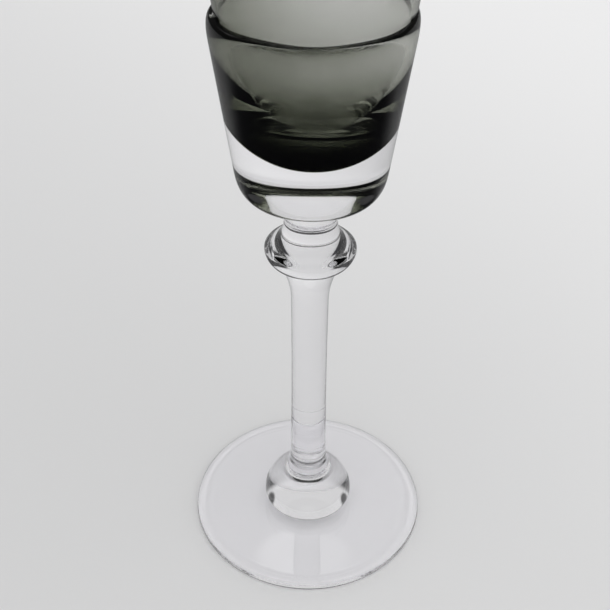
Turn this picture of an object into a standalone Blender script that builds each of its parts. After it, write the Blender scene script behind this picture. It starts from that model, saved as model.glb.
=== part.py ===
"""Champagne glass: a smoke-grey bowl cased in clear glass, on a knopped stem with a round foot.

Every piece is a turned solid of glass. The pieces stand on each other along +Z, with the foot's
resting ring on the plane z = 0 and the axis of the glass on x = y = 0. Sizes are in metres.
"""
import math

import bpy

# Fit between pieces that are fused end to end on the real glass
FUSED_GAP = 0.0003

# Foot
FOOT_RADIUS = 0.0350
FOOT_RIM_THICKNESS = 0.0024
FOOT_RISE = 0.0010
FOOT_REST_WIDTH = 0.0040
FOOT_HOLLOW_DEPTH = 0.0008

# Bun-shaped knop on the foot
FOOT_KNOP_RADIUS = 0.0133
FOOT_KNOP_SEAT_RADIUS = 0.0108
FOOT_KNOP_BELLY_HEIGHT = 0.0030
FOOT_KNOP_HEIGHT = 0.0117

# Flared collar between the stem and the foot knop
FOOT_COLLAR_RADIUS = 0.0081
FOOT_COLLAR_HEIGHT = 0.0084
FOOT_COLLAR_LIP = 0.0007

# Drawn stem, with a trumpet-shaped head
STEM_LENGTH = 0.0699
STEM_BASE_RADIUS = 0.0053
STEM_WAIST_RADIUS = 0.0049
STEM_NECK_RADIUS = 0.0051
STEM_HEAD_RADIUS = 0.0080
STEM_FLARE_LENGTH = 0.0130
STEM_FLARE_SLOPE = 0.34

# Cushion knop under the bowl, drawn up into the neck
UPPER_KNOP_RADIUS = 0.0121
UPPER_KNOP_BELLY_HEIGHT = 0.0042
UPPER_KNOP_HEIGHT = 0.0130
NECK_RADIUS = 0.0069

# Collar that opens from the neck into the bottom of the bowl
BOWL_COLLAR_HEIGHT = 0.0062
BOWL_COLLAR_WAIST_RADIUS = 0.0066
BOWL_SEAT_RADIUS = 0.0091
BOWL_SEAT_SLOPE = 0.67

# Clear casing round the lower half of the bowl
CASING_HEIGHT = 0.0484
CASING_HEEL_HEIGHT = 0.0086
CASING_HEEL_RADIUS = 0.0192
CASING_HEEL_DROP = 0.0047
CASING_UNDERSIDE_HEIGHT = 0.0023
CASING_UNDERSIDE_RADIUS = 0.0145
CASING_FILLET_RADIUS = 0.0116
CASING_BASE_THICKNESS = 0.0130
RIDGE_RADIUS = 0.0245
RIDGE_LEDGE = 0.0013
RIDGE_HEIGHT = 0.0060

# Smoke-grey bowl
BOWL_HEIGHT = 0.1121
BOWL_BASE_THICKNESS = 0.0053
BOWL_WALL = 0.0026
RIM_RADIUS = 0.0290
RIM_WALL = 0.0012

# Shape of the cups: how far the flat bottom and the straight wall reach before the curve takes over
BOWL_BOTTOM_REACH = 0.62
BOWL_SIDE_REACH = 0.50
CAVITY_BOTTOM_REACH = 0.64
CAVITY_SIDE_REACH = 0.80

# Shape of the smaller curves: how far each handle reaches along its run
THIRD = 1 / 3
FOOT_SLOPE_SAG = 0.70
HOLLOW_EDGE = 0.70
HOLLOW_MIDDLE = 0.40
HOLLOW_RISE = 0.60
COLLAR_DROP = 0.50
COLLAR_SPREAD = 0.35
COLLAR_TURN = 0.25
FLARE_STRAIGHT = 0.38
FLARE_EASE = 0.60
WAIST_SPAN = 0.65
SHOULDER_NECK = 0.16
SHOULDER_BELLY = 0.22
TUCK_SIDE = 0.58
TUCK_BASE = 0.58
TRUMPET_TOP = 0.34
TRUMPET_BASE = 0.38
HEEL_ROUND = 0.53
FILLET_TOP = 0.45
FILLET_SIDE = 0.62
LEDGE_REACH = 0.75
LIP_REACH = 0.40
RIM_EASE = 0.20

# Facets
TURN_STEPS = 48
CURVE_POINTS = 7
EDGE_POINTS = 4
MERGE_DISTANCE = 0.00001

CLEAR = (0.93, 0.94, 0.95, 1.0)
SMOKE = (0.17, 0.17, 0.15, 1.0)
GLASS_ROUGHNESS = 0.02
GLASS_IOR = 1.5


def bezier(start, first_handle, second_handle, end, count=CURVE_POINTS):
    """Points along a cubic curve, both ends included."""
    points = []
    for step in range(count):
        t = step / (count - 1)
        weights = ((1 - t) ** 3, 3 * t * (1 - t) ** 2, 3 * t * t * (1 - t), t ** 3)
        corners = (start, first_handle, second_handle, end)
        points.append(tuple(sum(w * c[axis] for w, c in zip(weights, corners)) for axis in (0, 1)))
    return points


def arc(centre, radius_x, radius_z, start_angle, end_angle, count=CURVE_POINTS):
    """Points along an elliptical arc, angles counted from +X towards +Z."""
    points = []
    for step in range(count):
        angle = start_angle + (end_angle - start_angle) * step / (count - 1)
        points.append((centre[0] + radius_x * math.cos(angle), centre[1] + radius_z * math.sin(angle)))
    return points


def profile(*runs):
    """One outline from several runs of points, with repeated points dropped and none past the axis."""
    outline = []
    for run in runs:
        for x, z in run:
            point = (max(x, 0.0), z)
            if not outline or math.dist(outline[-1], point) > MERGE_DISTANCE:
                outline.append(point)
    return outline


def grown(points, distance):
    """A curve that runs down to the axis, moved outwards by a distance."""
    moved = []
    last = len(points) - 1
    for index, (x, z) in enumerate(points):
        before = points[max(index - 1, 0)]
        after = points[min(index + 1, last)]
        run = (after[0] - before[0], after[1] - before[1])
        length = math.hypot(*run)
        moved.append((x - distance * run[1] / length, z + distance * run[0] / length))
    # The end on the axis moves straight along it
    end_x, end_z = points[last]
    moved[last] = (end_x, end_z - distance)
    return moved


def lifted(points, height):
    """A curve moved up by a height."""
    return [(x, z + height) for x, z in points]


def foot_profile():
    """Flat disc with a half-round rim, a level seat for the knop and a shallow hollow underneath."""
    rim = FOOT_RIM_THICKNESS / 2
    seat_height = FOOT_RIM_THICKNESS + FOOT_RISE
    rim_start = FOOT_RADIUS - rim
    reach = (rim_start - FOOT_KNOP_SEAT_RADIUS) * THIRD
    slope = bezier(
        (FOOT_KNOP_SEAT_RADIUS, seat_height),
        (FOOT_KNOP_SEAT_RADIUS + reach, seat_height - FOOT_RISE * FOOT_SLOPE_SAG),
        (rim_start - reach, FOOT_RIM_THICKNESS),
        (rim_start, FOOT_RIM_THICKNESS),
    )
    edge = arc((rim_start, rim), rim, rim, math.pi / 2, -math.pi / 2)
    rest_inner = rim_start - FOOT_REST_WIDTH
    hollow = bezier(
        (rest_inner, 0.0),
        (rest_inner * HOLLOW_EDGE, FOOT_HOLLOW_DEPTH * HOLLOW_RISE),
        (rest_inner * HOLLOW_MIDDLE, FOOT_HOLLOW_DEPTH),
        (0.0, FOOT_HOLLOW_DEPTH),
        EDGE_POINTS,
    )
    return profile([(0.0, seat_height)], slope, edge, hollow)


def foot_knop_profile():
    """Bun: a tall rounded shoulder above its widest line and a short tuck under it."""
    belly = FOOT_KNOP_BELLY_HEIGHT
    shoulder_angle = math.acos(FOOT_COLLAR_RADIUS / FOOT_KNOP_RADIUS)
    tuck_angle = math.acos(FOOT_KNOP_SEAT_RADIUS / FOOT_KNOP_RADIUS)
    shoulder_rise = (FOOT_KNOP_HEIGHT - belly) / math.sin(shoulder_angle)
    tuck_drop = belly / math.sin(tuck_angle)
    shoulder = arc((0.0, belly), FOOT_KNOP_RADIUS, shoulder_rise, shoulder_angle, 0.0, CURVE_POINTS + 2)
    tuck = arc((0.0, belly), FOOT_KNOP_RADIUS, tuck_drop, 0.0, -tuck_angle, EDGE_POINTS + 1)
    return profile([(0.0, FOOT_KNOP_HEIGHT)], shoulder, tuck, [(0.0, 0.0)])


def foot_collar_profile():
    """Flare from the stem down to the foot knop, with a low upright lip."""
    height = FOOT_COLLAR_HEIGHT
    spread = FOOT_COLLAR_RADIUS - STEM_BASE_RADIUS
    flare = bezier(
        (STEM_BASE_RADIUS, height),
        (STEM_BASE_RADIUS, height * COLLAR_DROP),
        (STEM_BASE_RADIUS + spread * COLLAR_SPREAD, height * COLLAR_TURN),
        (FOOT_COLLAR_RADIUS, FOOT_COLLAR_LIP),
        CURVE_POINTS + 1,
    )
    return profile([(0.0, height)], flare, [(FOOT_COLLAR_RADIUS, 0.0), (0.0, 0.0)])


def stem_profile():
    """Rod drawn to a slight waist, opening like a trumpet at its head."""
    flare_end = STEM_LENGTH - STEM_FLARE_LENGTH
    straight = STEM_FLARE_LENGTH * FLARE_STRAIGHT
    head = bezier(
        (STEM_HEAD_RADIUS, STEM_LENGTH),
        (STEM_HEAD_RADIUS - straight * STEM_FLARE_SLOPE, STEM_LENGTH - straight),
        (STEM_NECK_RADIUS, STEM_LENGTH - STEM_FLARE_LENGTH * FLARE_EASE),
        (STEM_NECK_RADIUS, flare_end),
    )
    draw = bezier(
        (STEM_NECK_RADIUS, flare_end),
        (STEM_WAIST_RADIUS, flare_end * WAIST_SPAN),
        (STEM_WAIST_RADIUS, flare_end * (1 - WAIST_SPAN)),
        (STEM_BASE_RADIUS, 0.0),
    )
    return profile([(0.0, STEM_LENGTH)], head, draw, [(0.0, 0.0)])


def upper_knop_profile():
    """Cushion knop: the neck flares down into a round shoulder, which tucks under to the stem's head."""
    height = UPPER_KNOP_HEIGHT
    belly = UPPER_KNOP_BELLY_HEIGHT
    rise = height - belly
    shoulder = bezier(
        (NECK_RADIUS, height),
        (NECK_RADIUS, belly + rise * SHOULDER_NECK),
        (UPPER_KNOP_RADIUS, belly + rise * SHOULDER_BELLY),
        (UPPER_KNOP_RADIUS, belly),
        CURVE_POINTS + 4,
    )
    tuck = bezier(
        (UPPER_KNOP_RADIUS, belly),
        (UPPER_KNOP_RADIUS, belly * TUCK_SIDE),
        (STEM_HEAD_RADIUS + (UPPER_KNOP_RADIUS - STEM_HEAD_RADIUS) * TUCK_BASE, 0.0),
        (STEM_HEAD_RADIUS, 0.0),
    )
    return profile([(0.0, height)], shoulder, tuck, [(0.0, 0.0)])


def bowl_collar_profile():
    """Short neck that opens like a trumpet to the bowl's seat."""
    height = BOWL_COLLAR_HEIGHT
    drop = height * TRUMPET_TOP
    side = bezier(
        (BOWL_SEAT_RADIUS, height),
        (BOWL_SEAT_RADIUS - drop * BOWL_SEAT_SLOPE, height - drop),
        (BOWL_COLLAR_WAIST_RADIUS, height * TRUMPET_BASE),
        (NECK_RADIUS, 0.0),
    )
    return profile([(0.0, height)], side, [(0.0, 0.0)])


def cone_taper():
    """How fast the casing's wall leans out, in metres of radius per metre of height."""
    return (RIDGE_RADIUS - CASING_HEEL_RADIUS) / (CASING_HEIGHT - CASING_HEEL_HEIGHT)


def bowl_shoulder_radius():
    """The bowl's outer radius where the casing ends."""
    return RIDGE_RADIUS - RIDGE_LEDGE - FUSED_GAP


def ridge_height():
    """Height of the ridge above the bowl's lowest point."""
    return CASING_HEIGHT - CASING_BASE_THICKNESS - FUSED_GAP


def cup(radius, floor, bottom_reach, side_reach):
    """Outline of a cup from the axis up to the ridge, its side leaning like the casing's wall."""
    side = (ridge_height() - floor) * side_reach
    return bezier(
        (0.0, floor),
        (radius * bottom_reach, floor),
        (radius - cone_taper() * side, ridge_height() - side),
        (radius, ridge_height()),
        CURVE_POINTS + 4,
    )


def bowl_base_curve():
    """Outside of the bowl inside the casing, from the ridge down to the axis, from the bowl's lowest point."""
    return cup(bowl_shoulder_radius(), 0.0, BOWL_BOTTOM_REACH, BOWL_SIDE_REACH)[::-1]


def clear_casing_profile():
    """Thick cup: a ledge and a soft ridge above, a conical wall, a tight heel and a flat underside with a boss."""
    inside = lifted(grown(bowl_base_curve(), FUSED_GAP), CASING_BASE_THICKNESS + FUSED_GAP)
    ledge = RIDGE_RADIUS - RIDGE_LEDGE
    lip_base = CASING_HEIGHT - RIDGE_HEIGHT
    lip_radius = RIDGE_RADIUS - cone_taper() * RIDGE_HEIGHT
    lip_rise = RIDGE_HEIGHT * LIP_REACH
    ridge = bezier(
        (ledge, CASING_HEIGHT),
        (ledge + RIDGE_LEDGE * LEDGE_REACH, CASING_HEIGHT),
        (lip_radius + cone_taper() * lip_rise, lip_base + lip_rise),
        (lip_radius, lip_base),
    )
    under = CASING_UNDERSIDE_HEIGHT
    heel = bezier(
        (CASING_HEEL_RADIUS, CASING_HEEL_HEIGHT),
        (CASING_HEEL_RADIUS - cone_taper() * CASING_HEEL_DROP, CASING_HEEL_HEIGHT - CASING_HEEL_DROP),
        (CASING_UNDERSIDE_RADIUS + (CASING_HEEL_RADIUS - CASING_UNDERSIDE_RADIUS) * HEEL_ROUND, under),
        (CASING_UNDERSIDE_RADIUS, under),
    )
    boss = bezier(
        (CASING_FILLET_RADIUS, under),
        (CASING_FILLET_RADIUS - (CASING_FILLET_RADIUS - BOWL_SEAT_RADIUS) * FILLET_TOP, under),
        (BOWL_SEAT_RADIUS + under * FILLET_SIDE * BOWL_SEAT_SLOPE, under * FILLET_SIDE),
        (BOWL_SEAT_RADIUS, 0.0),
        EDGE_POINTS,
    )
    return profile(reversed(inside[1:]), ridge, heel, boss, [(0.0, 0.0)])


def smoke_bowl_profile():
    """Blown vessel: a tall flared wall above the ridge and a round, thickened bottom below it."""
    shoulder = bowl_shoulder_radius()
    rim = RIM_WALL / 2
    rim_height = BOWL_HEIGHT - rim
    rise = (rim_height - ridge_height()) * THIRD
    lean = cone_taper() * rise
    inner_shoulder = shoulder - BOWL_WALL
    inner_rim = RIM_RADIUS - RIM_WALL
    cavity = cup(inner_shoulder, BOWL_BASE_THICKNESS, CAVITY_BOTTOM_REACH, CAVITY_SIDE_REACH)
    inner_wall = bezier(
        (inner_shoulder, ridge_height()),
        (inner_shoulder + lean, ridge_height() + rise),
        (inner_rim - lean * RIM_EASE, rim_height - rise),
        (inner_rim, rim_height),
    )
    lip = arc((RIM_RADIUS - rim, rim_height), rim, rim, math.pi, 0.0, EDGE_POINTS + 1)
    outer_wall = bezier(
        (RIM_RADIUS, rim_height),
        (RIM_RADIUS - lean * RIM_EASE, rim_height - rise),
        (shoulder + lean, ridge_height() + rise),
        (shoulder, ridge_height()),
    )
    return profile(cavity, inner_wall, lip, outer_wall, bowl_base_curve())


def glass(name, colour):
    """Polished transparent glass in one colour."""
    material = bpy.data.materials.new(name)
    material.use_nodes = True
    shader = material.node_tree.nodes["Principled BSDF"]
    shader.inputs["Base Color"].default_value = colour
    shader.inputs["Roughness"].default_value = GLASS_ROUGHNESS
    shader.inputs["Metallic"].default_value = 0.0
    shader.inputs["IOR"].default_value = GLASS_IOR
    shader.inputs["Transmission Weight"].default_value = 1.0
    material.diffuse_color = colour
    return material


def turned(name, outline, height, colour, assembly, collection):
    """A solid of revolution about the axis of the glass, standing at a height, in its own glass."""
    mesh = bpy.data.meshes.new(name)
    points = [(x, 0.0, z) for x, z in outline]
    edges = [(index, index + 1) for index in range(len(points) - 1)]
    mesh.from_pydata(points, edges, [])
    mesh.materials.append(glass(name + "_glass", colour))
    piece = bpy.data.objects.new(name, mesh)
    collection.objects.link(piece)
    piece.parent = assembly
    piece.location = (0.0, 0.0, height)
    screw = piece.modifiers.new("turn", "SCREW")
    screw.axis = "Z"
    screw.steps = TURN_STEPS
    screw.render_steps = TURN_STEPS
    screw.use_merge_vertices = True
    screw.merge_threshold = MERGE_DISTANCE
    screw.use_smooth_shade = True
    return piece


def main():
    for item in list(bpy.data.objects):
        bpy.data.objects.remove(item, do_unlink=True)
    collection = bpy.data.collections.new("champagne_glass")
    bpy.context.scene.collection.children.link(collection)
    assembly = bpy.data.objects.new("glass_axis", None)
    collection.objects.link(assembly)

    # From the foot up, each piece stands on the one before it
    stack = (
        ("foot", foot_profile(), FOOT_RIM_THICKNESS + FOOT_RISE, CLEAR),
        ("foot_knop", foot_knop_profile(), FOOT_KNOP_HEIGHT, CLEAR),
        ("foot_collar", foot_collar_profile(), FOOT_COLLAR_HEIGHT, CLEAR),
        ("stem", stem_profile(), STEM_LENGTH, CLEAR),
        ("upper_knop", upper_knop_profile(), UPPER_KNOP_HEIGHT, CLEAR),
        ("bowl_collar", bowl_collar_profile(), BOWL_COLLAR_HEIGHT, CLEAR),
        ("clear_casing", clear_casing_profile(), CASING_BASE_THICKNESS, CLEAR),
        ("smoke_bowl", smoke_bowl_profile(), BOWL_HEIGHT, SMOKE),
    )
    height = 0.0
    for name, outline, rise, colour in stack:
        turned(name, outline, height, colour, assembly, collection)
        height += rise + FUSED_GAP


main()
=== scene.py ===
"""Looks of the champagne glass: turned pieces of fused glass, their finishes, the studio and the camera."""
from __future__ import annotations

import logging
import math
from dataclasses import dataclass
from enum import Enum
from typing import Any, Iterable

import bpy
from mathutils import Matrix, Vector

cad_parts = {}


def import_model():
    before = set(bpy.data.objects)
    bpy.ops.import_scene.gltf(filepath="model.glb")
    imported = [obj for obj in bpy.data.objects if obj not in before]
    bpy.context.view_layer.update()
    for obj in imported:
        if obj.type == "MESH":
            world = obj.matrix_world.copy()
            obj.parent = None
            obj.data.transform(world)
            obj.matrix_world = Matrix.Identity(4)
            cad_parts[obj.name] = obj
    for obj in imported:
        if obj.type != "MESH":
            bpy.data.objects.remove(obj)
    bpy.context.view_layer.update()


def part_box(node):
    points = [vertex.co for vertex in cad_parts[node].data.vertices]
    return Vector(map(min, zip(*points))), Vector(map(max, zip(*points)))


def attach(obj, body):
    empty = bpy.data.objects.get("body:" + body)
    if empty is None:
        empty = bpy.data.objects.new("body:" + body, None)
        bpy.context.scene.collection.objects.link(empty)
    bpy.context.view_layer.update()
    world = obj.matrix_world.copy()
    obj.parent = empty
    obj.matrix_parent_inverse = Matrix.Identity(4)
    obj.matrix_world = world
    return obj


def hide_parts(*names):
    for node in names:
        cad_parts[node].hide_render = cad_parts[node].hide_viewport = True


LOG = logging.getLogger("champagne_glass")

Point = tuple[float, float]
Colour = tuple[float, float, float]

BODY = "root"
FUSED_ATTRIBUTE = "fused"

TURN_STEPS = 256
CURVE_POINTS = 40
LONG_CURVE_POINTS = 3 * CURVE_POINTS
STEM_CURVE_POINTS = 2 * CURVE_POINTS
RIM_POINTS = CURVE_POINTS // 2
FULL_STRENGTH = 1.0
AXIS_RADIUS = 1e-6
SAME_POINT = 1e-6
SHARP_ANGLE = math.radians(40.0)


class Slot(Enum):
    """Material slots that the pieces name."""

    SMOKE = "smoke_glass"
    CLEAR = "clear_glass"


class Socket:
    """A shader socket that takes part in Python arithmetic and adds Math nodes as it goes."""

    def __init__(self, graph: "Graph", link: bpy.types.NodeSocket) -> None:
        """Keeps the socket and the graph that it belongs to.

        Args:
            graph: Graph that new nodes are added to.
            link: Output socket that is wrapped.
        """
        self.graph = graph
        self.link = link

    def _math(self, operation: str, *values: Any) -> "Socket":
        """Adds one Math node.

        Args:
            operation: Operation of the Math node.
            values: Its inputs in order, sockets or numbers.

        Returns:
            The node's output.
        """
        return self.graph.node("ShaderNodeMath", {"operation": operation}, dict(enumerate(values)))

    def __add__(self, other: Any) -> "Socket":
        """Sum."""
        return self._math("ADD", self, other)

    def __mul__(self, other: Any) -> "Socket":
        """Product."""
        return self._math("MULTIPLY", self, other)

    def __sub__(self, other: Any) -> "Socket":
        """Difference."""
        return self._math("SUBTRACT", self, other)

    def __rsub__(self, other: Any) -> "Socket":
        """Difference from a number."""
        return self._math("SUBTRACT", other, self)

    def __abs__(self) -> "Socket":
        """Absolute value."""
        return self._math("ABSOLUTE", self)

    def larger(self, other: Any) -> "Socket":
        """The larger of two values."""
        return self._math("MAXIMUM", self, other)

    def below(self, limit: float) -> "Socket":
        """1 where the value is under a limit, else 0."""
        return self._math("LESS_THAN", self, limit)

    def ramp(self, low: float, high: float) -> "Socket":
        """Smooth step from 0 at low to 1 at high.

        Args:
            low: Value where the step starts.
            high: Value where the step ends, which may be below low.

        Returns:
            A value from 0 to 1.
        """
        inputs = {"Value": self, "From Min": low, "From Max": high, "To Min": 0.0, "To Max": 1.0}
        return self.graph.node("ShaderNodeMapRange", {"interpolation_type": "SMOOTHSTEP"}, inputs)


class Graph:
    """A node tree that is filled by one method."""

    def __init__(self, tree: bpy.types.NodeTree) -> None:
        """Empties the tree and keeps it.

        Args:
            tree: Node tree of a material or of the world.
        """
        self.tree = tree
        tree.nodes.clear()

    def node(
        self,
        kind: str,
        settings: dict[str, Any] | None = None,
        inputs: dict[Any, Any] | None = None,
        output: int | str = 0,
    ) -> Socket:
        """Adds a node.

        Args:
            kind: Type name of the node.
            settings: Properties that are set before the inputs.
            inputs: Values or sockets by input name or number.
            output: Name or number of the output that is returned.

        Returns:
            The chosen output, wrapped.
        """
        made = self.tree.nodes.new(kind)
        for name, value in (settings or {}).items():
            setattr(made, name, value)
        for name, value in (inputs or {}).items():
            if isinstance(value, Socket):
                self.tree.links.new(value.link, made.inputs[name])
            else:
                made.inputs[name].default_value = value
        if not made.outputs:
            return Socket(self, made.inputs[0])
        return Socket(self, made.outputs[output])

    def blend_colours(self, factor: Socket | float, first: Any, second: Any) -> Socket:
        """Mixes two colours.

        Args:
            factor: Share of the second colour.
            first: Colour or socket at factor 0.
            second: Colour or socket at factor 1.

        Returns:
            The mixed colour.
        """
        inputs = {0: factor, 6: first, 7: second}
        return self.node("ShaderNodeMix", {"data_type": "RGBA"}, inputs, 2)

    def facing(self, direction: Socket, aim: Vector) -> Socket:
        """How far a direction looks at an aim.

        Args:
            direction: Direction as a vector socket.
            aim: Unit vector.

        Returns:
            The cosine of the angle between them.
        """
        inputs = {0: direction, 1: aim}
        return self.node("ShaderNodeVectorMath", {"operation": "DOT_PRODUCT"}, inputs, "Value")

    def noise(self, place: Socket, scale: float, detail: float) -> Socket:
        """A cloudy pattern.

        Args:
            place: Place that is looked up.
            scale: How many clouds there are to a metre.
            detail: How many finer layers it has.

        Returns:
            A value from 0 to 1.
        """
        return self.node("ShaderNodeTexNoise", {}, {"Vector": place, "Scale": scale, "Detail": detail})

    def bump(self, height: Socket, depth: float) -> Socket:
        """A surface direction that follows a pattern of heights.

        Args:
            height: Pattern from 0 to 1.
            depth: Depth of the pattern.

        Returns:
            The direction.
        """
        inputs = {"Height": height, "Strength": FULL_STRENGTH, "Distance": depth}
        return self.node("ShaderNodeBump", {}, inputs)


def rgba(colour: Colour) -> tuple[float, float, float, float]:
    """A colour with full alpha, as sockets take it."""
    return (*colour, 1.0)


@dataclass(frozen=True)
class ClearGlass:
    """Fire-polished clear glass. A face that is fused to its neighbour lets light straight through."""

    name: str = "fire_polished_clear"
    tint: Colour = (0.990, 0.986, 1.0)
    streak_tint: Colour = (0.986, 0.983, 0.996)
    streak_scale: float = 45.0
    streak_detail: float = 3.0
    streak_draw: float = 0.20
    wave_scale: float = 70.0
    wave_detail: float = 1.0
    wave_depth: float = 0.000005
    ior: float = 1.5
    roughness: float = 0.0

    def _streaks(self, graph: Graph) -> Socket:
        """Faint streaks of colour that were drawn out along the axis while the glass was soft.

        Args:
            graph: Graph of the material.

        Returns:
            The colour that the surface lets through.
        """
        place = graph.node("ShaderNodeTexCoord", {}, {}, "Object")
        drawn = graph.node("ShaderNodeMapping", {}, {"Vector": place, "Scale": (1.0, 1.0, self.streak_draw)})
        streaks = graph.noise(drawn, self.streak_scale, self.streak_detail)
        return graph.blend_colours(streaks, rgba(self.tint), rgba(self.streak_tint))

    def _waves(self, graph: Graph) -> Socket:
        """Slow waves that the fire left on the surface.

        Args:
            graph: Graph of the material.

        Returns:
            The surface's direction.
        """
        place = graph.node("ShaderNodeTexCoord", {}, {}, "Object")
        return graph.bump(graph.noise(place, self.wave_scale, self.wave_detail), self.wave_depth)

    def _surface(self, graph: Graph) -> Socket:
        """Glass that turns into plain see-through where the face is fused.

        Args:
            graph: Graph of the material.

        Returns:
            The shader.
        """
        glass = graph.node(
            "ShaderNodeBsdfPrincipled",
            {},
            {
                "Base Color": self._streaks(graph),
                "Roughness": self.roughness,
                "IOR": self.ior,
                "Transmission Weight": 1.0,
                "Normal": self._waves(graph),
            },
        )
        through = graph.node("ShaderNodeBsdfTransparent")
        fused = graph.node("ShaderNodeAttribute", {"attribute_name": FUSED_ATTRIBUTE}, {}, "Fac")
        return graph.node("ShaderNodeMixShader", {}, {0: fused, 1: glass, 2: through})

    def _volume(self, graph: Graph) -> Socket | None:
        """Clear glass holds back no light."""
        return None

    def material(self) -> bpy.types.Material:
        """The finish as a material, made once.

        Returns:
            The material.
        """
        made = bpy.data.materials.get(self.name)
        if made is not None:
            return made
        made = bpy.data.materials.new(self.name)
        made.use_nodes = True
        graph = Graph(made.node_tree)
        outputs = {"Surface": self._surface(graph)}
        volume = self._volume(graph)
        if volume is not None:
            outputs["Volume"] = volume
        graph.node("ShaderNodeOutputMaterial", {}, outputs)
        return made


@dataclass(frozen=True)
class SmokeGlass(ClearGlass):
    """Smoke-grey glass whose depth of colour comes from its thickness."""

    name: str = "fire_polished_smoke"
    passed: Colour = (0.474, 0.491, 0.420)
    density: float = 1600.0

    def _volume(self, graph: Graph) -> Socket:
        """Even absorption through the depth of the glass.

        Args:
            graph: Graph of the material.

        Returns:
            The volume shader.
        """
        inputs = {"Color": rgba(self.passed), "Density": self.density}
        return graph.node("ShaderNodeVolumeAbsorption", {}, inputs)


def bezier(start: Point, leave: Point, arrive: Point, end: Point, count: int = CURVE_POINTS) -> list[Point]:
    """Points along a cubic curve, both ends included.

    Args:
        start: First point.
        leave: Handle of the first point.
        arrive: Handle of the last point.
        end: Last point.
        count: Number of points.

    Returns:
        The points.
    """
    corners = (start, leave, arrive, end)
    points = []
    for step in range(count):
        t = step / (count - 1)
        weights = ((1 - t) ** 3, 3 * t * (1 - t) ** 2, 3 * t * t * (1 - t), t**3)
        radius = sum(weight * corner[0] for weight, corner in zip(weights, corners))
        height = sum(weight * corner[1] for weight, corner in zip(weights, corners))
        points.append((radius, height))
    return points


def arc(centre: Point, radii: Point, start: float, end: float, count: int = CURVE_POINTS) -> list[Point]:
    """Points along an elliptical arc.

    Args:
        centre: Centre of the ellipse.
        radii: Its half widths along the radius and the height.
        start: First angle, from +X towards +Z.
        end: Last angle.
        count: Number of points.

    Returns:
        The points.
    """
    points = []
    for step in range(count):
        angle = start + (end - start) * step / (count - 1)
        points.append((centre[0] + radii[0] * math.cos(angle), centre[1] + radii[1] * math.sin(angle)))
    return points


@dataclass(frozen=True)
class Seams:
    """Shallow grooves round a turned piece, where gathers meet or a tool has rested."""

    levels: tuple[float, ...]
    depth: float
    width: float
    reach: float = 3.0
    fineness: float = 3.0

    def _pressed(self, radius: float, height: float) -> Point:
        """A point of the outline, moved in where a groove is."""
        depth = sum(math.exp(-(((height - level) / self.width) ** 2)) for level in self.levels)
        return (radius - self.depth * depth, height)

    def _parts(self, start: Point, end: Point) -> int:
        """In how many parts a stretch is split: several where a groove is near, else one.

        Args:
            start: First point of the stretch.
            end: Its last point.

        Returns:
            The number of parts.
        """
        low, high = sorted((start[1], end[1]))
        margin = self.reach * self.width
        if not any(low - margin < level < high + margin for level in self.levels):
            return 1
        return math.ceil(math.dist(start, end) * self.fineness / self.width)

    def cut(self, points: Iterable[Point]) -> list[Point]:
        """Cuts the grooves into an outline, with more points where a groove is.

        Args:
            points: Points of the outline.

        Returns:
            The points with the grooves.
        """
        outline = list(points)
        grooved = []
        for start, end in zip(outline, outline[1:]):
            parts = self._parts(start, end)
            for part in range(parts):
                share = part / parts
                radius = start[0] + (end[0] - start[0]) * share
                grooved.append(self._pressed(radius, start[1] + (end[1] - start[1]) * share))
        grooved.append(self._pressed(*outline[-1]))
        return grooved


@dataclass(frozen=True)
class Skew:
    """How a hand-blown layer leaves the axis: to the right, further at its bottom, oval, and back above."""

    shift: float = 0.0
    drift: float = 0.0
    oval: float = 0.0
    back: float = 0.0


@dataclass(frozen=True)
class Run:
    """One stretch of a turned outline, whether it is a fused seat, and its skew."""

    points: tuple[Point, ...]
    fused: bool = False
    skew: Skew = Skew()

    @staticmethod
    def open(points: Iterable[Point], skew: Skew = Skew()) -> "Run":
        """A stretch of polished outer surface."""
        return Run(tuple(points), False, skew)

    @staticmethod
    def seat(*points: Point, skew: Skew = Skew()) -> "Run":
        """A stretch that is fused to the next piece."""
        return Run(tuple(points), True, skew)


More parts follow.
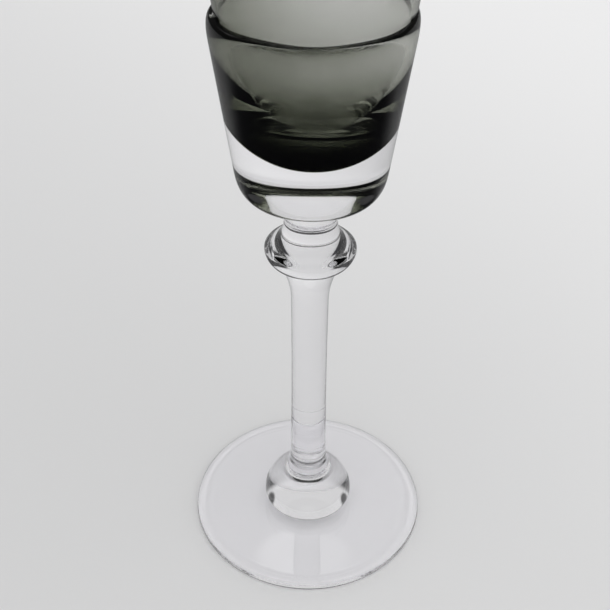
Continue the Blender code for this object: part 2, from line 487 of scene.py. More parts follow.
@dataclass(frozen=True)
class HandWork:
    """Slow waves that hand-made glass has instead of true circles."""

    oval: float = 0.0022
    ripple: float = 0.0008
    ripple_count: int = 5
    ripple_twist: float = 3.1
    ripple_start: float = 0.7
    twist: float = 23.0
    ridge_level: float = 0.1628
    ridge_rise: float = 0.0004
    ridge_wave: float = 0.0002
    slow_wave: tuple[int, float] = (3, 0.5)
    quick_wave: tuple[int, float] = (7, 2.0)
    ridge_tilt: float = 0.0004
    ridge_reach: float = 0.0090
    drift_depth: float = 0.0330
    stray_reach: tuple[float, float] = (0.168, 0.220)

    def stray(self, height: float) -> float:
        """Share of a layer's skew that is left at a height: all of it up to the ridge, none at the rim.

        Args:
            height: Height above the table.

        Returns:
            A share between 0 and 1.
        """
        low, high = self.stray_reach
        share = min(max((high - height) / (high - low), 0.0), 1.0)
        return share * share * (3 - 2 * share)

    def sag(self, height: float) -> float:
        """Share of a layer's drift at a height: 0 at the ridge and above, 1 at the bottom of the bowl."""
        return min(max((self.ridge_level - height) / self.drift_depth, 0.0), 1.0)

    def lift(self, angle: float, height: float) -> float:
        """How far the ridge and what is near it stand above a level ring.

        Args:
            angle: Angle round the axis.
            height: Height above the table.

        Returns:
            A small height.
        """
        fade = math.exp(-(((height - self.ridge_level) / self.ridge_reach) ** 2))
        front = -math.sin(angle)
        rise = self.ridge_rise * (front + front * front) / 2
        slow, quick = (math.cos(count * angle + start) for count, start in (self.slow_wave, self.quick_wave))
        wave = self.ridge_wave * (slow + quick / 2)
        return fade * (rise + wave + self.ridge_tilt * math.cos(angle))

    def swell(self, angle: float, height: float) -> float:
        """Factor on the radius at a place on the glass.

        Args:
            angle: Angle round the axis.
            height: Height above the table.

        Returns:
            A factor near 1.
        """
        turn = self.twist * height
        oval = self.oval * math.cos(2 * angle + turn)
        phase = self.ripple_count * angle - self.ripple_twist * turn + self.ripple_start
        ripple = self.ripple * math.cos(phase)
        return 1.0 + oval + ripple


def turn(name: str, runs: list[Run], hand: HandWork, steps: int = TURN_STEPS) -> bpy.types.Object:
    """Turns an outline about the axis of the glass into a closed mesh.

    Args:
        name: Name of the new object.
        runs: Stretches of the outline, from the axis back to the axis, down the outer side.
        hand: Hand-made waves of the surface.
        steps: Number of steps round the axis.

    Returns:
        The new object.
    """
    outline: list[Point] = []
    skews: list[Skew] = []
    flags: list[bool] = []
    for run in runs:
        for point in run.points:
            if outline and math.dist(outline[-1], point) < SAME_POINT:
                continue
            if outline:
                flags.append(run.fused)
            outline.append(point)
            skews.append(run.skew)
    vertices: list[tuple[float, float, float]] = []
    rings: list[list[int]] = []
    for (radius, height), skew in zip(outline, skews):
        stray = hand.stray(height)
        aside = stray * (skew.shift + skew.drift * hand.sag(height))
        behind = stray * skew.back * (1 - hand.sag(height))
        if radius < AXIS_RADIUS:
            rings.append([len(vertices)] * steps)
            vertices.append((aside, behind, height))
            continue
        rings.append(list(range(len(vertices), len(vertices) + steps)))
        for step in range(steps):
            angle = 2 * math.pi * step / steps
            reach = radius * (hand.swell(angle, height) - stray * skew.oval * math.cos(angle) ** 2)
            level = height + hand.lift(angle, height)
            vertices.append((aside + reach * math.cos(angle), behind + reach * math.sin(angle), level))
    faces: list[tuple[int, ...]] = []
    fused: list[float] = []
    for upper, lower, flag in zip(rings, rings[1:], flags):
        for step in range(steps):
            after = (step + 1) % steps
            corners = (upper[step], lower[step], lower[after], upper[after])
            faces.append(tuple(dict.fromkeys(corners)))
            fused.append(float(flag))
    mesh = bpy.data.meshes.new(name)
    mesh.from_pydata(vertices, [], faces)
    attribute = mesh.attributes.new(FUSED_ATTRIBUTE, "FLOAT", "FACE")
    attribute.data.foreach_set("value", fused)
    mesh.shade_smooth()
    mesh.set_sharp_from_angle(angle=SHARP_ANGLE)
    mesh.update()
    piece = bpy.data.objects.new(name, mesh)
    bpy.context.scene.collection.objects.link(piece)
    return piece


@dataclass(frozen=True)
class Span:
    """Reach of a CAD node: its radius, its lowest and its highest level."""

    radius: float
    low: float
    high: float

    @staticmethod
    def of(node: str) -> "Span":
        """Reads a node's reach from the frame.

        Args:
            node: Name of the CAD node.

        Returns:
            Its reach.
        """
        low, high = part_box(node)
        return Span(high.x, low.z, high.z)


def seat_between(lower: Span, upper: Span) -> float:
    """Level of the seat where two nodes meet."""
    return (lower.high + upper.low) / 2


@dataclass
class GlassPiece:
    """A turned piece of glass that stands for one CAD node."""

    name: str
    node: str
    slot: Slot
    finish: ClearGlass
    hand: HandWork

    def runs(self) -> list[Run]:
        """Outline of the piece."""
        raise NotImplementedError

    def build(self) -> bpy.types.Object:
        """Makes the piece in its finish and puts it in the place of its node.

        Returns:
            The new object.
        """
        piece = turn(self.name, self.runs(), self.hand)
        piece.data.materials.append(self.finish.material())
        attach(piece, BODY)
        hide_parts(self.node)
        LOG.info("%s: %d faces in %s", piece.name, len(piece.data.polygons), self.finish.name)
        return piece


@dataclass
class Foot(GlassPiece):
    """Flat disc with a half-round rim and a shallow hollow underneath."""

    span: Span
    seat: float
    seat_radius: float = 0.0108
    rim_thickness: float = 0.0024
    rest_width: float = 0.0014
    hollow: float = 0.0008
    slope_sag: float = 0.70
    hollow_edge: float = 0.70
    hollow_middle: float = 0.40
    hollow_rise: float = 0.60
    bead_radius: float = 0.0322
    bead_width: float = 0.0007
    bead_depth: float = 0.00016

    def _bead(self, radius: float) -> float:
        """Depth of the furrow that sets the rim off as a bead."""
        return self.bead_depth * math.exp(-(((radius - self.bead_radius) / self.bead_width) ** 2))

    def runs(self) -> list[Run]:
        """Outline of the foot.

        Returns:
            Its stretches.
        """
        rim = self.rim_thickness / 2
        edge = self.span.radius - rim
        reach = edge - self.seat_radius
        drop = self.seat - self.rim_thickness
        slope = bezier(
            (self.seat_radius, self.seat),
            (self.seat_radius + reach / 3, self.seat - drop * self.slope_sag),
            (edge - reach / 3, self.rim_thickness),
            (edge, self.rim_thickness),
            LONG_CURVE_POINTS,
        )
        slope = [(radius, height - self._bead(radius)) for radius, height in slope]
        rest = edge - self.rest_width
        under = bezier(
            (rest, 0.0),
            (rest * self.hollow_edge, self.hollow * self.hollow_rise),
            (rest * self.hollow_middle, self.hollow),
            (0.0, self.hollow),
        )
        return [
            Run.seat((0.0, self.seat), (self.seat_radius, self.seat)),
            Run.open(slope),
            Run.open(arc((edge, rim), (rim, rim), math.pi / 2, -math.pi / 2)),
            Run.open(under),
        ]


@dataclass
class FootKnop(GlassPiece):
    """Bun-shaped knop with a tall shoulder and a short tuck."""

    span: Span
    base: float
    seat: float
    seat_radius: float = 0.0108
    collar_radius: float = 0.0081
    belly: float = 0.0030

    def runs(self) -> list[Run]:
        """Outline of the knop.

        Returns:
            Its stretches.
        """
        widest = self.base + self.belly
        shoulder_angle = math.acos(self.collar_radius / self.span.radius)
        tuck_angle = math.acos(self.seat_radius / self.span.radius)
        rise = (self.seat - widest) / math.sin(shoulder_angle)
        drop = self.belly / math.sin(tuck_angle)
        return [
            Run.seat((0.0, self.seat), (self.collar_radius, self.seat)),
            Run.open(arc((0.0, widest), (self.span.radius, rise), shoulder_angle, 0.0)),
            Run.open(arc((0.0, widest), (self.span.radius, drop), 0.0, -tuck_angle)),
            Run.seat((self.seat_radius, self.base), (0.0, self.base)),
        ]


@dataclass
class FootCollar(GlassPiece):
    """Flare from the stem down to the foot knop, with a low lip."""

    span: Span
    base: float
    seat: float
    stem_radius: float = 0.0053
    lip: float = 0.0007
    flare_drop: float = 0.50
    flare_spread: float = 0.35
    flare_turn: float = 0.25
    rings: Seams = Seams((0.0172, 0.0184, 0.0197, 0.0211, 0.0226), 0.00004, 0.00035)

    def runs(self) -> list[Run]:
        """Outline of the collar.

        Returns:
            Its stretches.
        """
        height = self.seat - self.base
        spread = self.span.radius - self.stem_radius
        flare = bezier(
            (self.stem_radius, self.seat),
            (self.stem_radius, self.base + height * self.flare_drop),
            (self.stem_radius + spread * self.flare_spread, self.base + height * self.flare_turn),
            (self.span.radius, self.base + self.lip),
            LONG_CURVE_POINTS,
        )
        return [
            Run.seat((0.0, self.seat), (self.stem_radius, self.seat)),
            Run.open(self.rings.cut(flare)),
            Run.open([(self.span.radius, self.base)]),
            Run.seat((self.span.radius, self.base), (0.0, self.base)),
        ]


@dataclass
class Stem(GlassPiece):
    """Rod drawn to a slight waist, opening like a trumpet at its head."""

    span: Span
    base: float
    seat: float
    base_radius: float = 0.0053
    waist_radius: float = 0.0049
    neck_radius: float = 0.0051
    flare: float = 0.0130
    flare_slope: float = 0.34
    flare_straight: float = 0.38
    flare_ease: float = 0.60
    waist_span: float = 0.65
    seams: Seams = Seams((0.0385,), 0.00010, 0.00012)

    def runs(self) -> list[Run]:
        """Outline of the stem.

        Returns:
            Its stretches.
        """
        head = self.span.radius
        flare_end = self.seat - self.flare
        length = flare_end - self.base
        straight = self.flare * self.flare_straight
        trumpet = bezier(
            (head, self.seat),
            (head - straight * self.flare_slope, self.seat - straight),
            (self.neck_radius, self.seat - self.flare * self.flare_ease),
            (self.neck_radius, flare_end),
        )
        draw = bezier(
            (self.neck_radius, flare_end),
            (self.waist_radius, self.base + length * self.waist_span),
            (self.waist_radius, self.base + length * (1 - self.waist_span)),
            (self.base_radius, self.base),
            STEM_CURVE_POINTS,
        )
        return [
            Run.seat((0.0, self.seat), (head, self.seat)),
            Run.open(trumpet),
            Run.open(self.seams.cut(draw)),
            Run.seat((self.base_radius, self.base), (0.0, self.base)),
        ]


@dataclass
class UpperKnop(GlassPiece):
    """Cushion knop that is drawn up into the neck."""

    span: Span
    base: float
    seat: float
    stem_radius: float
    neck_radius: float = 0.0069
    belly: float = 0.0042
    shoulder_neck: float = 0.16
    shoulder_belly: float = 0.22
    tuck_side: float = 0.58
    tuck_base: float = 0.58

    def runs(self) -> list[Run]:
        """Outline of the knop.

        Returns:
            Its stretches.
        """
        widest = self.base + self.belly
        rise = self.seat - widest
        reach = self.span.radius
        shoulder = bezier(
            (self.neck_radius, self.seat),
            (self.neck_radius, widest + rise * self.shoulder_neck),
            (reach, widest + rise * self.shoulder_belly),
            (reach, widest),
        )
        tuck = bezier(
            (reach, widest),
            (reach, self.base + self.belly * self.tuck_side),
            (self.stem_radius + (reach - self.stem_radius) * self.tuck_base, self.base),
            (self.stem_radius, self.base),
        )
        return [
            Run.seat((0.0, self.seat), (self.neck_radius, self.seat)),
            Run.open(shoulder),
            Run.open(tuck),
            Run.seat((self.stem_radius, self.base), (0.0, self.base)),
        ]


@dataclass
class BowlCollar(GlassPiece):
    """Neck that opens like a trumpet from the upper knop into the bottom of the bowl."""

    span: Span
    base: float
    seat: float
    seat_radius: float = 0.0091
    seat_slope: float = 1.5
    neck_radius: float = 0.0069
    waist_radius: float = 0.0066
    trumpet_top: float = 0.34
    trumpet_base: float = 0.38

    def runs(self) -> list[Run]:
        """Outline of the collar.

        Returns:
            Its stretches.
        """
        height = self.seat - self.base
        reach = height * self.trumpet_top
        side = bezier(
            (self.seat_radius, self.seat),
            (self.seat_radius - reach / self.seat_slope, self.seat - reach),
            (self.waist_radius, self.base + height * self.trumpet_base),
            (self.neck_radius, self.base),
        )
        return [
            Run.seat((0.0, self.seat), (self.seat_radius, self.seat)),
            Run.open(side),
            Run.seat((self.neck_radius, self.base), (0.0, self.base)),
        ]


@dataclass
class BowlBase:
    """Sizes that the layers of the bowl share. Every layer's side leans like the casing's wall."""

    casing: Span
    bowl: Span
    cone_radius: float = 0.0245
    heel_radius: float = 0.0192
    heel_height: float = 0.0086
    ridge_wall: float = 0.0016
    smoke_depth: float = 0.0028
    smoke_wall: float = 0.00036
    smoke_rim: float = 0.00024
    cavity_depth: float = 0.0040
    cavity_wall: float = 0.0012
    rim_wall: float = 0.0012
    gap: float = 0.00015
    skin: float = 0.00002
    rim_ease: float = 0.20
    smoke_curve: Point = (0.54, 0.66)
    lining_curve: Point = (0.56, 0.61)
    cavity_curve: Point = (0.54, 0.70)
    wall_skew: Skew = Skew(0.00050, 0.0, 0.0, 0.0014)
    lining_skew: Skew = Skew(0.00070, 0.0, 0.0100, 0.0014)
    cavity_skew: Skew = Skew(0.00040, 0.00050, 0.0, 0.0014)

    @property
    def taper(self) -> float:
        """Lean of the casing's wall, radius over height."""
        height = self.casing.high - self.casing.low - self.heel_height
        return (self.cone_radius - self.heel_radius) / height

    @property
    def ridge(self) -> float:
        """Level of the ridge where the casing ends."""
        return self.casing.high

    @property
    def ridge_radius(self) -> float:
        """The bowl's outer radius where the casing ends."""
        return self.cone_radius - self.ridge_wall

    @property
    def bottom(self) -> float:
        """Lowest level of the smoke glass."""
        return self.bowl.low - self.gap

    def cup(self, radius: float, floor: float, fullness: float, handle: float) -> list[Point]:
        """Outline of a cup from the axis up to the ridge.

        Args:
            radius: Radius at the ridge.
            floor: Level of the cup's bottom.
            fullness: Reach of the flat bottom, as a share of the radius.
            handle: Reach of the straight side, as a share of the depth.

        Returns:
            The points.
        """
        side = (self.ridge - floor) * handle
        return bezier(
            (0.0, floor),
            (radius * fullness, floor),
            (radius - self.taper * side, self.ridge - side),
            (radius, self.ridge),
            LONG_CURVE_POINTS,
        )

    def chimney(self, start_wall: float, end_wall: float) -> list[Point]:
        """Outline of a layer from the ridge up to the rim.

        Args:
            start_wall: Distance from the outer surface at the ridge.
            end_wall: Distance from the outer surface at the rim.

        Returns:
            The points.
        """
        rise = (self.rim_level - self.ridge) / 3
        start = self.ridge_radius - start_wall
        end = self.bowl.radius - end_wall
        return bezier(
            (start, self.ridge),
            (start + self.taper * rise, self.ridge + rise),
            (end - self.taper * rise * self.rim_ease, self.rim_level - rise),
            (end, self.rim_level),
        )

    @property
    def rim_level(self) -> float:
        """Level where the rounded rim starts."""
        return self.bowl.high - (self.rim_wall - self.smoke_rim) / 2

    def casing_face(self, inset: float = 0.0) -> list[Point]:
        """Curve where casing and smoke glass meet, up to the ridge.

        Args:
            inset: How far the curve is moved into the smoke glass, so that two faces never coincide.

        Returns:
            The points.
        """
        return self.cup(self.ridge_radius - inset, self.bottom + inset, *self.smoke_curve)

    def lining_face(self, inset: float = 0.0) -> list[Point]:
        """Curve where smoke glass and lining meet, up to the rim.

        Args:
            inset: How far the curve is moved into the smoke glass, so that two faces never coincide.

        Returns:
            The points.
        """
        wall = self.smoke_wall - inset
        floor = self.bottom + self.smoke_depth - inset
        low = self.cup(self.ridge_radius - wall, floor, *self.lining_curve)
        return low + self.chimney(wall, self.smoke_rim - inset)

    def cavity_face(self) -> list[Point]:
        """Inner surface of the bowl, up to the rim.

        Returns:
            The points.
        """
        radius = self.ridge_radius - self.cavity_wall
        low = self.cup(radius, self.bottom + self.cavity_depth, *self.cavity_curve)
        return low + self.chimney(self.cavity_wall, self.rim_wall)


@dataclass
class ClearCasing(GlassPiece):
    """Thick clear cup round the lower half of the bowl, with a soft ridge above and a tight heel below."""

    shared: BowlBase
    base: float
    seat_radius: float
    seat_slope: float
    heel_pull: float = 0.0047
    underside: float = 0.00230
    underside_radius: float = 0.0145
    underside_dish: float = 0.00030
    fillet_radius: float = 0.0116
    heel_round: float = 0.53
    fillet_top: float = 0.45
    fillet_side: float = 0.62
    lip_height: float = 0.0068
    lip_ledge: float = 0.95
    lip_fall: float = 0.0006
    lip_round: float = 0.30

    def runs(self) -> list[Run]:
        """Outline of the casing.

        Returns:
            Its stretches.
        """
        shared = self.shared
        taper = shared.taper
        top = shared.ridge
        wall = shared.ridge_wall
        lip_radius = shared.cone_radius - taper * self.lip_height
        lip_base = top - self.lip_height
        lip_turn = self.lip_height * self.lip_round
        ridge = bezier(
            (shared.ridge_radius, top),
            (shared.ridge_radius + wall * self.lip_ledge, top - self.lip_fall),
            (lip_radius + taper * lip_turn, lip_base + lip_turn),
            (lip_radius, lip_base),
        )
        heel_top = self.base + shared.heel_height
        under = self.base + self.underside
        heel_reach = shared.heel_radius - self.underside_radius
        heel = bezier(
            (shared.heel_radius, heel_top),
            (shared.heel_radius - taper * self.heel_pull, heel_top - self.heel_pull),
            (self.underside_radius + heel_reach * self.heel_round, under),
            (self.underside_radius, under),
        )
        inner = under + self.underside_dish
        height = inner - self.base
        flare = height * self.fillet_side
        fillet = bezier(
            (self.fillet_radius, inner),
            (self.fillet_radius - (self.fillet_radius - self.seat_radius) * self.fillet_top, inner),
            (self.seat_radius + flare / self.seat_slope, self.base + flare),
            (self.seat_radius, self.base),
        )
        return [
            Run.seat(*shared.casing_face(), skew=shared.wall_skew),
            Run.open(ridge),
            Run.open(heel),
            Run.open(fillet),
            Run.seat((self.seat_radius, self.base), (0.0, self.base)),
        ]


@dataclass
class SmokeBowl(GlassPiece):
    """Layer of smoke glass: a drop at the bottom of the bowl that thins out to a veil up its wall."""

    shared: BowlBase

    def runs(self) -> list[Run]:
        """Outline of the smoke layer.

        Returns:
            Its stretches.
        """
        shared = self.shared
        return [
            Run.seat(*shared.lining_face(shared.skin), skew=shared.lining_skew),
            Run.open(reversed(shared.chimney(0.0, 0.0)), shared.wall_skew),
            Run.seat(*reversed(shared.casing_face(shared.skin)), skew=shared.wall_skew),
        ]


@dataclass
class BowlLining(GlassPiece):
    """Clear inner wall of the bowl, with the rounded rim."""

    shared: BowlBase

    def runs(self) -> list[Run]:
        """Outline of the lining.

        Returns:
            Its stretches.
        """
        shared = self.shared
        half = (shared.rim_wall - shared.smoke_rim) / 2
        centre = (shared.bowl.radius - shared.smoke_rim - half, shared.rim_level)
        return [
            Run.open(shared.cavity_face(), shared.cavity_skew),
            Run.open(arc(centre, (half, half), math.pi, 0.0, RIM_POINTS)),
            Run.seat(*reversed(shared.lining_face()), skew=shared.lining_skew),
        ]


@dataclass
class PhotoCamera:
    """Camera at the photograph's viewing angle."""

    distance: float = 0.2144
    height: float = 0.2473
    pitch: float = 38.08
    yaw: float = -0.35
    roll: float = 0.43
    focal_pixels: float = 1000.0
    frame_pixels: float = 610.0
    sensor_mm: float = 36.0
    nearest: float = 0.01
    farthest: float = 50.0

    def build(self) -> bpy.types.Object:
        """Places the camera and makes it the scene's.

        Returns:
            The camera.
        """
        data = bpy.data.cameras.new("photo_camera")
        data.sensor_width = self.sensor_mm
        data.lens = self.focal_pixels / self.frame_pixels * self.sensor_mm
        data.clip_start = self.nearest
        data.clip_end = self.farthest
        camera = bpy.data.objects.new("photo_camera", data)
        pitch, yaw, roll = (math.radians(angle) for angle in (self.pitch, self.yaw, self.roll))
        ahead = Vector((math.sin(yaw) * math.cos(pitch), math.cos(yaw) * math.cos(pitch), -math.sin(pitch)))
        right = Vector((math.cos(yaw), -math.sin(yaw), 0.0))
        up = right.cross(ahead)
        tilted_right = math.cos(roll) * right + math.sin(roll) * up
        tilted_up = math.cos(roll) * up - math.sin(roll) * right
        axes = Matrix((tilted_right, tilted_up, -ahead)).transposed()
        camera.matrix_world = Matrix.Translation((0.0, -self.distance, self.height)) @ axes.to_4x4()
        bpy.context.scene.collection.objects.link(camera)
        bpy.context.scene.camera = camera
        return camera


def aim_at(azimuth: float, elevation: float) -> Vector:
    """Unit vector to a place in the room.

    Args:
        azimuth: Degrees from +X towards +Y.
        elevation: Degrees above the floor.

    Returns:
        The vector.
    """
    turn_angle = math.radians(azimuth)
    rise = math.radians(elevation)
    level = math.cos(rise)
    return Vector((level * math.cos(turn_angle), level * math.sin(turn_angle), math.sin(rise)))


@dataclass(frozen=True)
class SkyPatch:
    """A soft round area of the room that is lighter or darker than the rest."""

    azimuth: float
    elevation: float
    spread: float
    softness: float
    level: float

    def mask(self, graph: Graph, direction: Socket) -> Socket:
        """Where the patch is in the room.

        Args:
            graph: Graph of the world.
            direction: Direction that is looked in.

        Returns:
            1 in the patch, 0 outside, and a soft edge.
        """
        inner = math.cos(math.radians(self.spread - self.softness))
        outer = math.cos(math.radians(self.spread + self.softness))
        return graph.facing(direction, aim_at(self.azimuth, self.elevation)).ramp(outer, inner)


@dataclass
class Studio:
    """A pale floor in a softly lit room. Reflections and much-turned rays see darker parts of both; on the
    floor that darkness is painted shade in its colour, and the floor's colour also carries a painted light
    gradient.
    """

    # Painted light and shade: the floor's colour runs from the near colour at the front left to the lighter
    # far colour at the back right, and to the deep colour far behind, in place of uneven light.
    near_painted_shade_colour: Colour = (0.683, 0.683, 0.686)
    far_painted_light_colour: Colour = (0.900, 0.900, 0.903)
    deep_painted_shade_colour: Colour = (0.785, 0.785, 0.79)
    grain_scale: float = 700.0
    grain_detail: float = 2.0
    grain_level: float = 0.012
    grain_depth: float = 0.00002
    fade_across: float = 1.2
    fade_reach: tuple[float, float] = (-0.25, 0.70)
    deep_reach: tuple[float, float] = (0.42, 0.75)
    # Painted shade: the floor shows this dark colour to reflections and to rays out of solid glass where the
    # masks in floor() say so; the floor's grain also darkens towards it.
    grain_and_painted_shade_colour: Colour = (0.045, 0.045, 0.05)
    front_edge: float = -0.22
    front_fade: float = 0.10
    corner_start: float = 0.12
    corner_fade: float = 0.20
    mirror_edge: float = 0.16
    mirror_fade: float = 0.08
    mirror_reach: tuple[float, float] = (0.12, 0.18)
    mirror_turn: tuple[float, float] = (0.14, 0.02)
    # Painted reflection: far floor seen straight in a reflection off the glass shows this grey.
    painted_mirror_grey: Colour = (0.28, 0.28, 0.282)
    floor_roughness: float = 0.9
    floor_shine: float = 0.1
    floor_half: float = 4.0
    floor_drop: float = 0.0002
    backdrop: float = 0.68
    room: float = 0.68
    dark_room: float = 0.05
    horizon: tuple[float, float] = (0.50, 0.68)
    back_turn: tuple[float, float] = (0.35, 0.15)
    foot_reach: tuple[float, float] = (0.05, 0.08)
    front_turn: tuple[float, float] = (0.05, -0.20)
    side_turn: tuple[float, float] = (0.20, 0.45)
    light_bounces: int = 40
    first_pass: float = 0.5
    most_passes: float = 3.5
    dark_turns: tuple[float, float] = (4.5, 9.5)
    mirror_sky: tuple[float, float] = (0.65, 0.45)
    mirror_front: tuple[float, float] = (0.45, 0.25)
    dark_front_turns: tuple[float, float] = (3.5, 99.0)
    soft_light: SkyPatch = SkyPatch(-75.0, 65.0, 34.0, 20.0, 1.50)
    dark_cards: tuple[SkyPatch, ...] = (
        SkyPatch(35.0, 42.0, 6.0, 2.0, 0.05),
        SkyPatch(145.0, 42.0, 6.0, 2.0, 0.05),
    )
    windows: tuple[SkyPatch, ...] = (
        SkyPatch(93.3, 56.5, 2.8, 0.8, 2.20),
        SkyPatch(86.5, 56.5, 2.2, 0.8, 1.60),
    )

    def _seen_in_solid_glass(self, graph: Graph) -> Socket:
        """1 on rays that come from a reflection or out of solid glass, else 0.

        Args:
            graph: Graph of the material or the world.

        Returns:
            The mask.
        """
        glossy = graph.node("ShaderNodeLightPath", {}, {}, "Is Glossy Ray")
        passed = graph.node("ShaderNodeLightPath", {}, {}, "Is Transmission Ray")
        depth = graph.node("ShaderNodeLightPath", {}, {}, "Transmission Depth")
        return glossy.larger(passed) * depth.below(self.most_passes)

    def _turned(self, graph: Graph, turns: tuple[float, float]) -> Socket:
        """1 on rays that were turned a number of times inside the glass, else 0.

        Args:
            graph: Graph of the material or the world.
            turns: Lowest and highest number of turns.

        Returns:
            The mask.
        """
        depth = graph.node("ShaderNodeLightPath", {}, {}, "Ray Depth")
        return depth.below(turns[1]) - depth.below(turns[0])

    def _mirrored(self, graph: Graph) -> Socket:
        """1 on rays that come straight from a reflection on the outside of the glass, else 0.

        Args:
            graph: Graph of the material or the world.

        Returns:
            The mask.
        """
        glossy = graph.node("ShaderNodeLightPath", {}, {}, "Is Glossy Ray")
        depth = graph.node("ShaderNodeLightPath", {}, {}, "Transmission Depth")
        return glossy * depth.below(self.first_pass)

    def floor(self) -> bpy.types.Object:
        """Lays the floor.

        Returns:
            The floor.
        """
        half = self.floor_half
        mesh = bpy.data.meshes.new("floor")
        corners = [(-half, -half, 0.0), (half, -half, 0.0), (half, half, 0.0), (-half, half, 0.0)]
        mesh.from_pydata(corners, [], [(0, 1, 2, 3)])
        floor = bpy.data.objects.new("floor", mesh)
        floor.location.z = -self.floor_drop
        material = bpy.data.materials.new("pale_floor")
        material.use_nodes = True
        graph = Graph(material.node_tree)
        place = graph.node("ShaderNodeNewGeometry", {}, {}, "Position")
        along = graph.node("ShaderNodeSeparateXYZ", {}, {0: place}, 1)
        across = graph.node("ShaderNodeSeparateXYZ", {}, {0: place}, 0)
        # Masks of painted shade: the floor turns dark only for reflections and rays out of solid glass, in
        # its front corners, away from the foot for much-turned rays, and in front and far off for
        # reflections; the camera and diffuse light see it pale.
        front = along.ramp(self.front_edge, self.front_edge - self.front_fade)
        corner = front * abs(across).ramp(self.corner_start, self.corner_start + self.corner_fade)
        distance = along * along + across * across
        away = distance.ramp(*(reach**2 for reach in self.foot_reach))
        far = distance.ramp(*(reach**2 for reach in self.mirror_reach))
        lost = self._turned(graph, self.dark_turns) * away
        seen = corner.larger(lost) * self._seen_in_solid_glass(graph)
        near = along.ramp(self.mirror_edge, self.mirror_edge - self.mirror_fade)
        painted_mirror_shade_mask = near + far * (along.ramp(*self.mirror_turn) - near)
        mirror = self._mirrored(graph)
        # Painted light: the gradient of floor colour below stands in for uneven light across the floor.
        fade = (along + across * self.fade_across).ramp(*self.fade_reach)
        painted_floor_colour = graph.blend_colours(fade, rgba(self.near_painted_shade_colour), rgba(self.far_painted_light_colour))
        painted_floor_colour = graph.blend_colours(along.ramp(*self.deep_reach), painted_floor_colour, rgba(self.deep_painted_shade_colour))
        # Painted reflection: far floor seen in a reflection off the glass turns grey.
        painted_floor_colour = graph.blend_colours(far * mirror, painted_floor_colour, rgba(self.painted_mirror_grey))
        # Painted shade: the floor turns dark where the masks above say, in reflections and refractions only.
        colour = graph.blend_colours(seen.larger(painted_mirror_shade_mask * mirror), painted_floor_colour, rgba(self.grain_and_painted_shade_colour))
        grain = graph.noise(place, self.grain_scale, self.grain_detail)
        colour = graph.blend_colours(grain * self.grain_level, colour, rgba(self.grain_and_painted_shade_colour))
        surface = graph.node(
            "ShaderNodeBsdfPrincipled",
            {},
            {
                "Base Color": colour,
                "Roughness": self.floor_roughness,
                "Specular IOR Level": self.floor_shine,
                "Normal": graph.bump(grain, self.grain_depth),
            },
        )
        graph.node("ShaderNodeOutputMaterial", {}, {"Surface": surface})
        mesh.materials.append(material)
        bpy.context.scene.collection.objects.link(floor)
        return floor

    def world(self) -> None:
        """Sets the room's light."""
        world = bpy.data.worlds.new("studio")
        bpy.context.scene.world = world
        world.use_nodes = True
        graph = Graph(world.node_tree)
        direction = graph.node("ShaderNodeTexCoord", {}, {}, "Generated")
        height = graph.node("ShaderNodeSeparateXYZ", {}, {0: direction}, 2)
        level: Any = self.room
        for patch in (self.soft_light, *self.dark_cards):
            level = patch.mask(graph, direction) * (patch.level - level) + level
        mirrored = self._mirrored(graph)
        for window in self.windows:
            level = level + window.mask(graph, direction) * mirrored * (window.level - level)
        along = graph.node("ShaderNodeSeparateXYZ", {}, {0: direction}, 1)
        across = graph.node("ShaderNodeSeparateXYZ", {}, {0: direction}, 0)
        corner = along.ramp(*self.front_turn) * abs(across).ramp(*self.side_turn)
        low = height.ramp(self.horizon[1], self.horizon[0]) * corner
        front_lost = self._turned(graph, self.dark_front_turns) * along.ramp(*self.back_turn)
        lost = self._turned(graph, self.dark_turns).larger(front_lost)
        seen = low.larger(lost) * self._seen_in_solid_glass(graph)
        level = level + seen * (self.dark_room - level)
        unlit = height.ramp(*self.mirror_sky).larger(along.ramp(*self.mirror_front)) * mirrored
        level = level + unlit * (self.dark_room - level)
        camera = graph.node("ShaderNodeLightPath", {}, {}, "Is Camera Ray")
        level = level + camera * (self.backdrop - level)
        white = rgba((1.0, 1.0, 1.0))
        light = graph.node("ShaderNodeBackground", {}, {"Color": white, "Strength": level})
        graph.node("ShaderNodeOutputWorld", {}, {"Surface": light})

    def bounces(self) -> None:
        """Lets light pass through the many faces of the stacked glass."""
        cycles = bpy.context.scene.cycles
        cycles.max_bounces = self.light_bounces
        cycles.transmission_bounces = self.light_bounces
        cycles.glossy_bounces = self.light_bounces
        cycles.transparent_max_bounces = self.light_bounces
        cycles.blur_glossy = 0.0

    def build(self) -> None:
        """Sets the studio up."""
        self.floor()
        self.world()
        self.bounces()
        bpy.context.scene.view_settings.view_transform = "Standard"


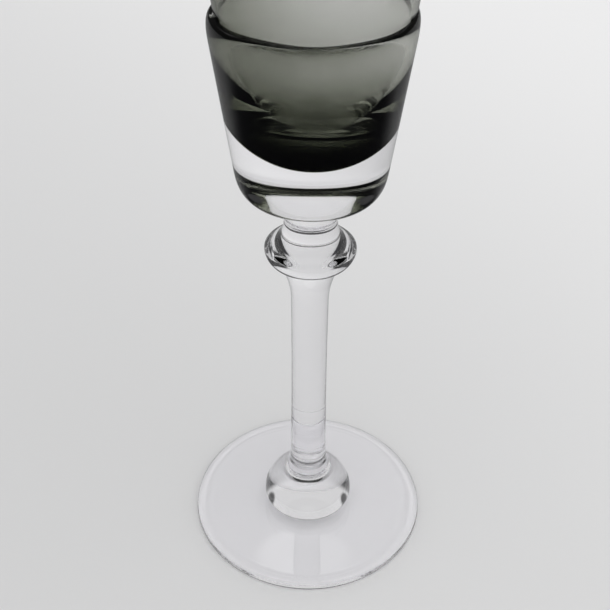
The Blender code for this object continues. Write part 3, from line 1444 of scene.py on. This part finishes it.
def glass_pieces() -> list[GlassPiece]:
    """Describes every piece of glass from the frame.

    Returns:
        The pieces from the foot up.
    """
    names = (
        "foot", "foot_knop", "foot_collar", "stem",
        "upper_knop", "bowl_collar", "clear_casing", "smoke_bowl",
    )
    spans = {name: Span.of(name) for name in names}
    stack = names[:-1]
    seats = {upper: seat_between(spans[lower], spans[upper]) for lower, upper in zip(stack, stack[1:])}
    clear = ClearGlass()
    smoke = SmokeGlass()
    hand = HandWork()

    def basics(node: str) -> dict[str, Any]:
        """Fields that every clear piece has."""
        return {"name": node + "_form", "node": node, "slot": Slot.CLEAR, "finish": clear, "hand": hand}

    shared = BowlBase(spans["clear_casing"], spans["smoke_bowl"])
    layer = {"node": "smoke_bowl", "hand": hand, "shared": shared}
    collar = BowlCollar(
        **basics("bowl_collar"),
        span=spans["bowl_collar"],
        base=seats["bowl_collar"],
        seat=seats["clear_casing"],
    )
    return [
        Foot(**basics("foot"), span=spans["foot"], seat=seats["foot_knop"]),
        FootKnop(
            **basics("foot_knop"),
            span=spans["foot_knop"],
            base=seats["foot_knop"],
            seat=seats["foot_collar"],
        ),
        FootCollar(
            **basics("foot_collar"), span=spans["foot_collar"], base=seats["foot_collar"], seat=seats["stem"]
        ),
        Stem(**basics("stem"), span=spans["stem"], base=seats["stem"], seat=seats["upper_knop"]),
        UpperKnop(
            **basics("upper_knop"),
            span=spans["upper_knop"],
            base=seats["upper_knop"],
            seat=seats["bowl_collar"],
            stem_radius=spans["stem"].radius,
        ),
        collar,
        ClearCasing(
            **basics("clear_casing"),
            shared=shared,
            base=seats["clear_casing"],
            seat_radius=collar.seat_radius,
            seat_slope=collar.seat_slope,
        ),
        SmokeBowl(name="smoke_bowl_form", slot=Slot.SMOKE, finish=smoke, **layer),
        BowlLining(name="bowl_lining_form", slot=Slot.CLEAR, finish=clear, **layer),
    ]


def main() -> None:
    """Builds the camera, the glass and the studio."""
    logging.basicConfig(level=logging.INFO, format="%(name)s: %(message)s")
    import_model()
    PhotoCamera().build()
    for piece in glass_pieces():
        piece.build()
    Studio().build()


if __name__ == "__main__":
    main()
